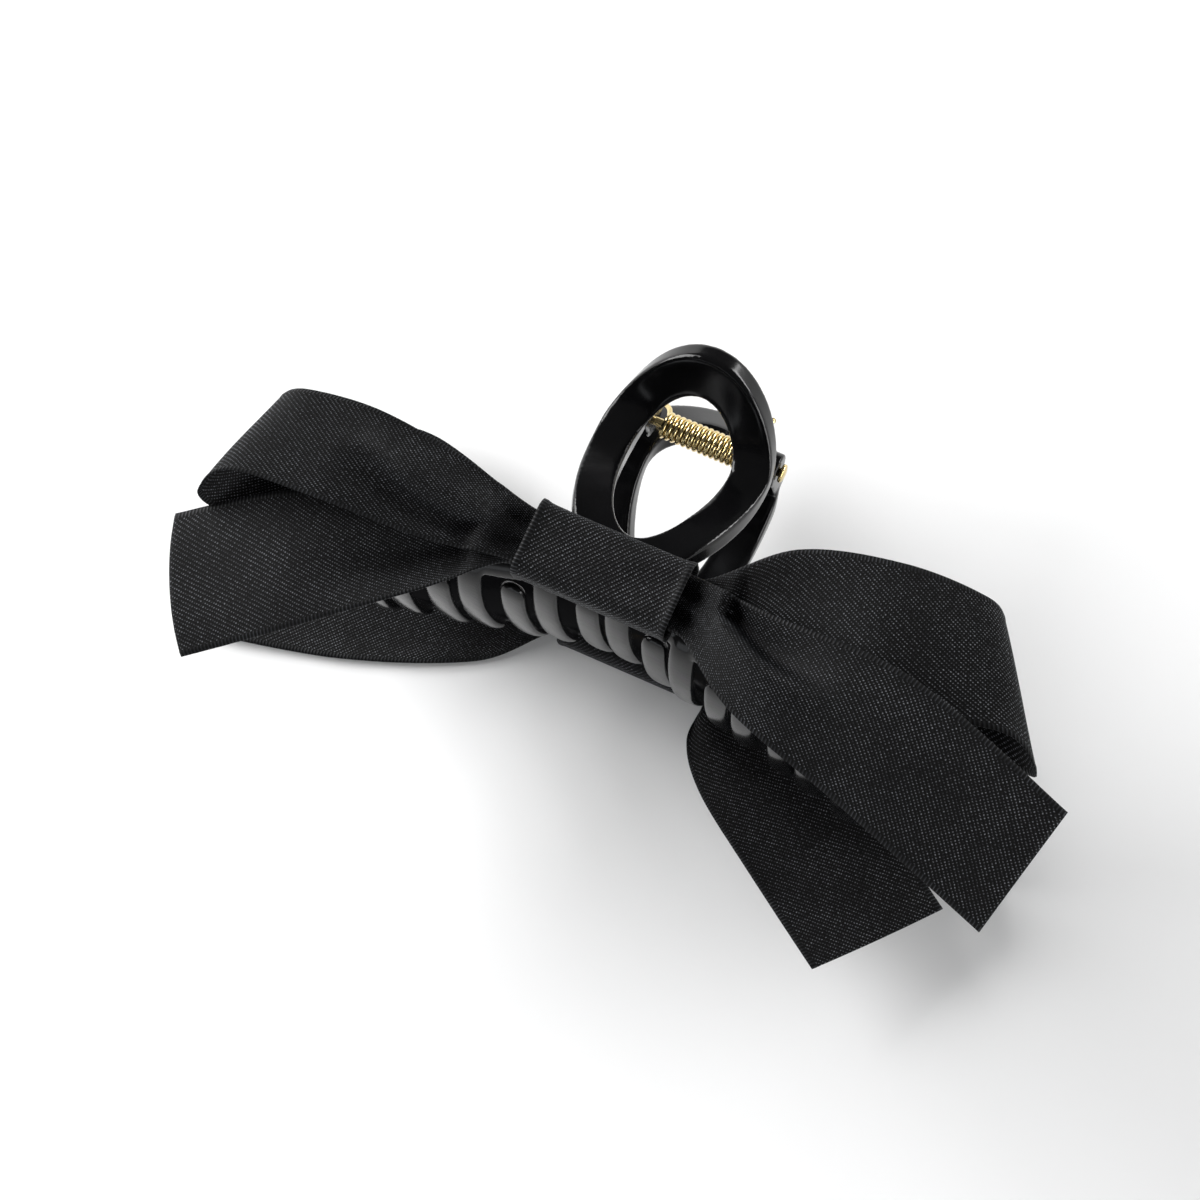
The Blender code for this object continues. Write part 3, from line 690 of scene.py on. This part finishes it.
def ring_handle(bm, steps=160, sides=40):
    """The teardrop ring, a flat band that follows the jaw's concave profile."""
    rings = []
    for k in range(steps):
        angle = 2 * math.pi * k / steps
        ends = []
        for half, middle, up, down in (RING_OUTER, RING_HOLE):
            reach = up if math.sin(angle) > 0 else down
            point, along = profile_at_y(middle + reach * math.sin(angle))
            ends.append((Vector((half * math.cos(angle), point.x, point.y)), along))
        (outer, along), (hole, _) = ends
        across = (outer - hole).normalized()
        normal = Vector((0.0, -along.y, along.x))
        normal = normal if normal.z > 0 else -normal
        half_band = (outer - hole).length / 2
        offsets = rounded(across, normal, half_band, RING_THICKNESS / 2, sides, RING_SQUARENESS)
        rings.append([(outer + hole) / 2 + v for v in offsets])
    loft(bm, rings, closed=True)


def spine_bar(bm, steps=90, rows=16):
    """The arched strip that joins the handle and the teeth."""
    rings = []
    for k in range(steps + 1):
        x = JAW_HALF_LENGTH * (2 * k / steps - 1)
        end = 1 - abs(x) / JAW_HALF_LENGTH
        shorter = SPINE_END_CUT * (1 - min(end / SPINE_END_SHARE, 1.0)) ** 2
        outside, inside = [], []
        for i in range(rows + 1):
            f = i / rows
            y = SPINE_TOP_Y - shorter - f * (SPINE_TOP_Y - SPINE_BOTTOM_Y - shorter)
            point, along = profile_at_y(y)
            normal = Vector((-along.y, along.x))
            normal = normal if normal.y > 0 else -normal
            half = SPINE_THICKNESS / 2 * (1 - abs(2 * f - 1) ** 6 * SPINE_EDGE_THINNING)
            outside.append(bent(x, point + normal * half))
            inside.append(bent(x, point - normal * half))
        rings.append(outside + inside[::-1])
    loft(bm, rings)


def tooth(bm, x, steps=90, sides=28):
    """One curved slat with a rounded tip."""
    start = next(i for i, point in enumerate(PROFILE_LINE) if point.x < TOOTH_START_Y)
    rings = []
    for k in range(steps + 1):
        at = start + (len(PROFILE_LINE) - 1 - start) * k / steps
        i = min(int(at), len(PROFILE_LINE) - 2)
        point = PROFILE_LINE[i].lerp(PROFILE_LINE[i + 1], at - i)
        along = (PROFILE_LINE[i + 1] - PROFILE_LINE[i]).normalized()
        left = 1 - k / steps
        taper = max(math.sqrt(1 - (1 - min(left / TIP_START, 1.0)) ** 2), TIP_WIDTH)
        across = Vector((1.0, 0.0, 0.0))
        out = Vector((0.0, along.y, -along.x))
        middle = bent(x, point)
        half_thickness = TOOTH_THICKNESS / 2 * max(taper, TIP_THICKNESS)
        offsets = rounded(across, out, TOOTH_WIDTH / 2 * taper, half_thickness, sides, TOOTH_SQUARENESS)
        rings.append([middle + v for v in offsets])
    loft(bm, rings)


def lug(bm, x):
    """The eye round the pin, with its stem up to the back of the ring."""
    turn = Matrix.Translation((x, 0.0, 0.0)) @ Matrix.Rotation(math.pi / 2, 4, "Y")
    bmesh.ops.create_cone(bm, cap_ends=True, segments=64, radius1=LUG_RADIUS, radius2=LUG_RADIUS,
                          depth=LUG_WIDTH, matrix=turn)
    stem = Matrix.Translation((x, *LUG_STEM_MIDDLE)) @ Matrix.Diagonal((LUG_WIDTH, *LUG_STEM_SIZE, 1.0))
    bmesh.ops.create_cube(bm, size=1.0, matrix=stem)


VOXEL = 0.30  # cell size of the remesh that fuses a jaw


def jaw(name, matrix, lug_x, plastic, body, node):
    """One moulding, its shapes fused so that their joins have the small fillets of a mould."""
    bm = bmesh.new()
    ring_handle(bm)
    spine_bar(bm)
    lug(bm, lug_x)
    lug(bm, -lug_x)
    for x in TEETH:
        tooth(bm, x)
    obj = object_from(name, bm, Matrix.Identity(4))
    fuse = obj.modifiers.new("fuse", "REMESH")
    fuse.mode = "VOXEL"
    fuse.voxel_size = VOXEL * 1.0
    fuse.use_smooth_shade = True
    polish = obj.modifiers.new("polish", "SMOOTH")
    polish.factor = 0.5
    polish.iterations = 5
    graph = bpy.context.evaluated_depsgraph_get()
    mesh = bpy.data.meshes.new_from_object(obj.evaluated_get(graph))
    obj.modifiers.clear()
    obj.data = mesh
    mesh.name = name
    mesh.transform(matrix)
    mesh.shade_smooth()
    mesh.materials.clear()
    mesh.materials.append(plastic)
    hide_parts(node)
    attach(obj, body)


# ---------------------------------------------------------------- pin and spring

PIN_RADIUS = 0.8
PIN_HEAD_RADIUS = 1.7
PIN_END = 15.2
PIN_FILLET = 0.1
HEAD_CHAMFER = 0.12
HEAD_THICKNESS = 0.45
HEAD_DOME = 0.45
COIL_RADIUS = 2.05
WIRE_RADIUS = 0.49
COIL_HALF_LENGTH = 7.2
COIL_TURNS = 13.5
COIL_START = 0.25  # of a turn
REAR_SPRING_LEG = [(-11.8, 5.8, -9.6), (-10.4, 5.2, -7.4), (-8.6, 4.2, -5.2), (-7.7, 2.6, -3.7),
                   (-7.4, 1.2, -2.5)]
PIN_SIDES = 64
WIRE_SIDES = 14
STEPS_PER_TURN = 40


def hinge_pin(brass):
    """A thin rod with a peened head at each end."""
    outline = [(0.0, PIN_RADIUS), (PIN_END - PIN_FILLET, PIN_RADIUS)]
    outline += [(PIN_END, PIN_RADIUS + PIN_FILLET), (PIN_END, PIN_HEAD_RADIUS - HEAD_CHAMFER)]
    outline += [(PIN_END + HEAD_CHAMFER, PIN_HEAD_RADIUS), (PIN_END + HEAD_THICKNESS, PIN_HEAD_RADIUS)]
    outline += [(PIN_END + HEAD_THICKNESS + HEAD_DOME * math.sin(a), PIN_HEAD_RADIUS * math.cos(a))
                for a in (math.radians(d) for d in range(12, 85, 12))]
    outline = [(-x, r) for x, r in outline[:0:-1]] + outline
    turns = [2 * math.pi * i / PIN_SIDES for i in range(PIN_SIDES)]
    rings = [[Vector((x, r * math.cos(a), r * math.sin(a))) for a in turns] for x, r in outline]
    bm = bmesh.new()
    loft(bm, rings)
    obj = object_from("brass_pin", bm, FRONT)
    obj.data.materials.append(brass)
    obj.data.set_sharp_from_angle(angle=math.radians(50))
    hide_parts("hinge_pin")
    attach(obj, "rear_jaw")


def torsion_spring(brass):
    """A close coil round the pin, with a leg to each jaw."""
    count = round(COIL_TURNS * STEPS_PER_TURN)
    coil = []
    for k in range(count + 1):
        angle = 2 * math.pi * (k / STEPS_PER_TURN + COIL_START)
        x = COIL_HALF_LENGTH * (2 * k / count - 1)
        coil.append(Vector((x, COIL_RADIUS * math.cos(angle), -COIL_RADIUS * math.sin(angle))))
    rear_leg = [catmull(REAR_SPRING_LEG, k / 4) for k in range(4 * len(REAR_SPRING_LEG) - 3)]
    front_leg = [Vector((-p.x, p.y, -p.z)) for p in rear_leg[::-1]]
    path = rear_leg + coil + front_leg
    turns = [2 * math.pi * j / WIRE_SIDES for j in range(WIRE_SIDES)]
    rings = []
    for i, point in enumerate(path):
        along = (path[min(i + 1, len(path) - 1)] - path[max(i - 1, 0)]).normalized()
        first = along.cross(Vector((1.0, 0.0, 0.0))).normalized()
        second = along.cross(first)
        rings.append([point + WIRE_RADIUS * (first * math.cos(a) + second * math.sin(a)) for a in turns])
    bm = bmesh.new()
    loft(bm, rings)
    obj = object_from("brass_spring", bm, FRONT)
    obj.data.materials.append(brass)
    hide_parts("torsion_spring")
    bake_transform(obj)


# ---------------------------------------------------------------- floor and light

CEILING = 0.11  # brightness of the dark studio above the clip
FLOOR_SIZE = 6.0
FLOOR_DROP = 0.0002  # the floor lies just under the clip


def make_floor():
    """A wide pale floor."""
    bpy.ops.mesh.primitive_plane_add(size=FLOOR_SIZE, location=(0.0, 0.0, -FLOOR_DROP))
    floor = bpy.context.object
    floor.name = "floor"
    floor.data.materials.append(floor_material())


def area_light(name, place, aim, size, power, color=(1.0, 1.0, 1.0)):
    """A rectangular soft box turned towards aim."""
    data = bpy.data.lights.new(name, "AREA")
    data.shape = "RECTANGLE"
    data.size, data.size_y = size
    data.energy = power
    data.color = color
    light = bpy.data.objects.new(name, data)
    light.location = place
    light.rotation_euler = (Vector(aim) - Vector(place)).to_track_quat("-Z", "Y").to_euler()
    bpy.context.scene.collection.objects.link(light)


def make_light():
    """Soft boxes stand low round the table, so that the top faces reflect only the dim ceiling."""
    world = bpy.data.worlds.new("studio")
    world.use_nodes = True
    background = world.node_tree.nodes["Background"]
    background.inputs["Color"].default_value = (1.0, 1.0, 1.0, 1.0)
    background.inputs["Strength"].default_value = CEILING
    bpy.context.scene.world = world
    middle = (0.0, 0.0, 0.03)
    area_light("key_left", (-1.15, 0.2, 0.60), middle, (1.3, 0.9), 40.0)
    area_light("back", (0.9, 1.0, 0.22), middle, (0.9, 0.25), 11.0)
    area_light("right", (1.25, -0.2, 0.28), middle, (1.2, 0.4), 12.0)
    area_light("front", (0.2, -1.25, 0.30), middle, (1.8, 0.5), 4.0, (0.92, 0.96, 1.0))
    bpy.context.scene.view_settings.view_transform = "Standard"


def main():
    make_camera()
    satin = satin_material("black_satin_ribbon")
    wrap_satin = satin_material("black_satin_wrap", 2 * WRAP_HALF_LENGTH)
    plastic = plastic_material()
    brass = brass_material()
    thread = thread_material()
    glue = glue_material()
    jaw("polished_rear_jaw", REAR, REAR_LUG_X, plastic, "rear_jaw", "rear_jaw")
    jaw("polished_front_jaw", FRONT, FRONT_LUG_X, plastic, "front_jaw", "front_jaw")
    hinge_pin(brass)
    torsion_spring(brass)
    front = (FRONT_LEFT_TAIL, FRONT_RIGHT_LOOP, FRONT_LEFT_LOOP, FRONT_RIGHT_TAIL)
    rear = (REAR_LEFT_TAIL, REAR_RIGHT_LOOP, REAR_LEFT_LOOP, REAR_RIGHT_TAIL)
    bow_ribbon("front_folded_ribbon", FRONT, front, False, satin, "front_jaw", "front_bow_ribbon", 1.7)
    bow_ribbon("rear_folded_ribbon", REAR, rear, True, satin, "rear_jaw", "rear_bow_ribbon", 5.2)
    centre_wrap("front_knot_wrap", FRONT, False, wrap_satin, "front_jaw", "front_bow_wrap")
    rear_wrap = REAR @ Matrix.Translation((0.0, REAR_KNOT_SHIFT, 0.0))
    centre_wrap("rear_knot_wrap", rear_wrap, True, wrap_satin, "rear_jaw", "rear_bow_wrap")
    for side in ("front", "rear"):
        for node, material in (("_gather_thread", thread), ("_glue_pad", glue)):
            materials = frame["nodes"][side + node].data.materials
            materials.clear()
            materials.append(material)
    make_floor()
    make_light()


main()
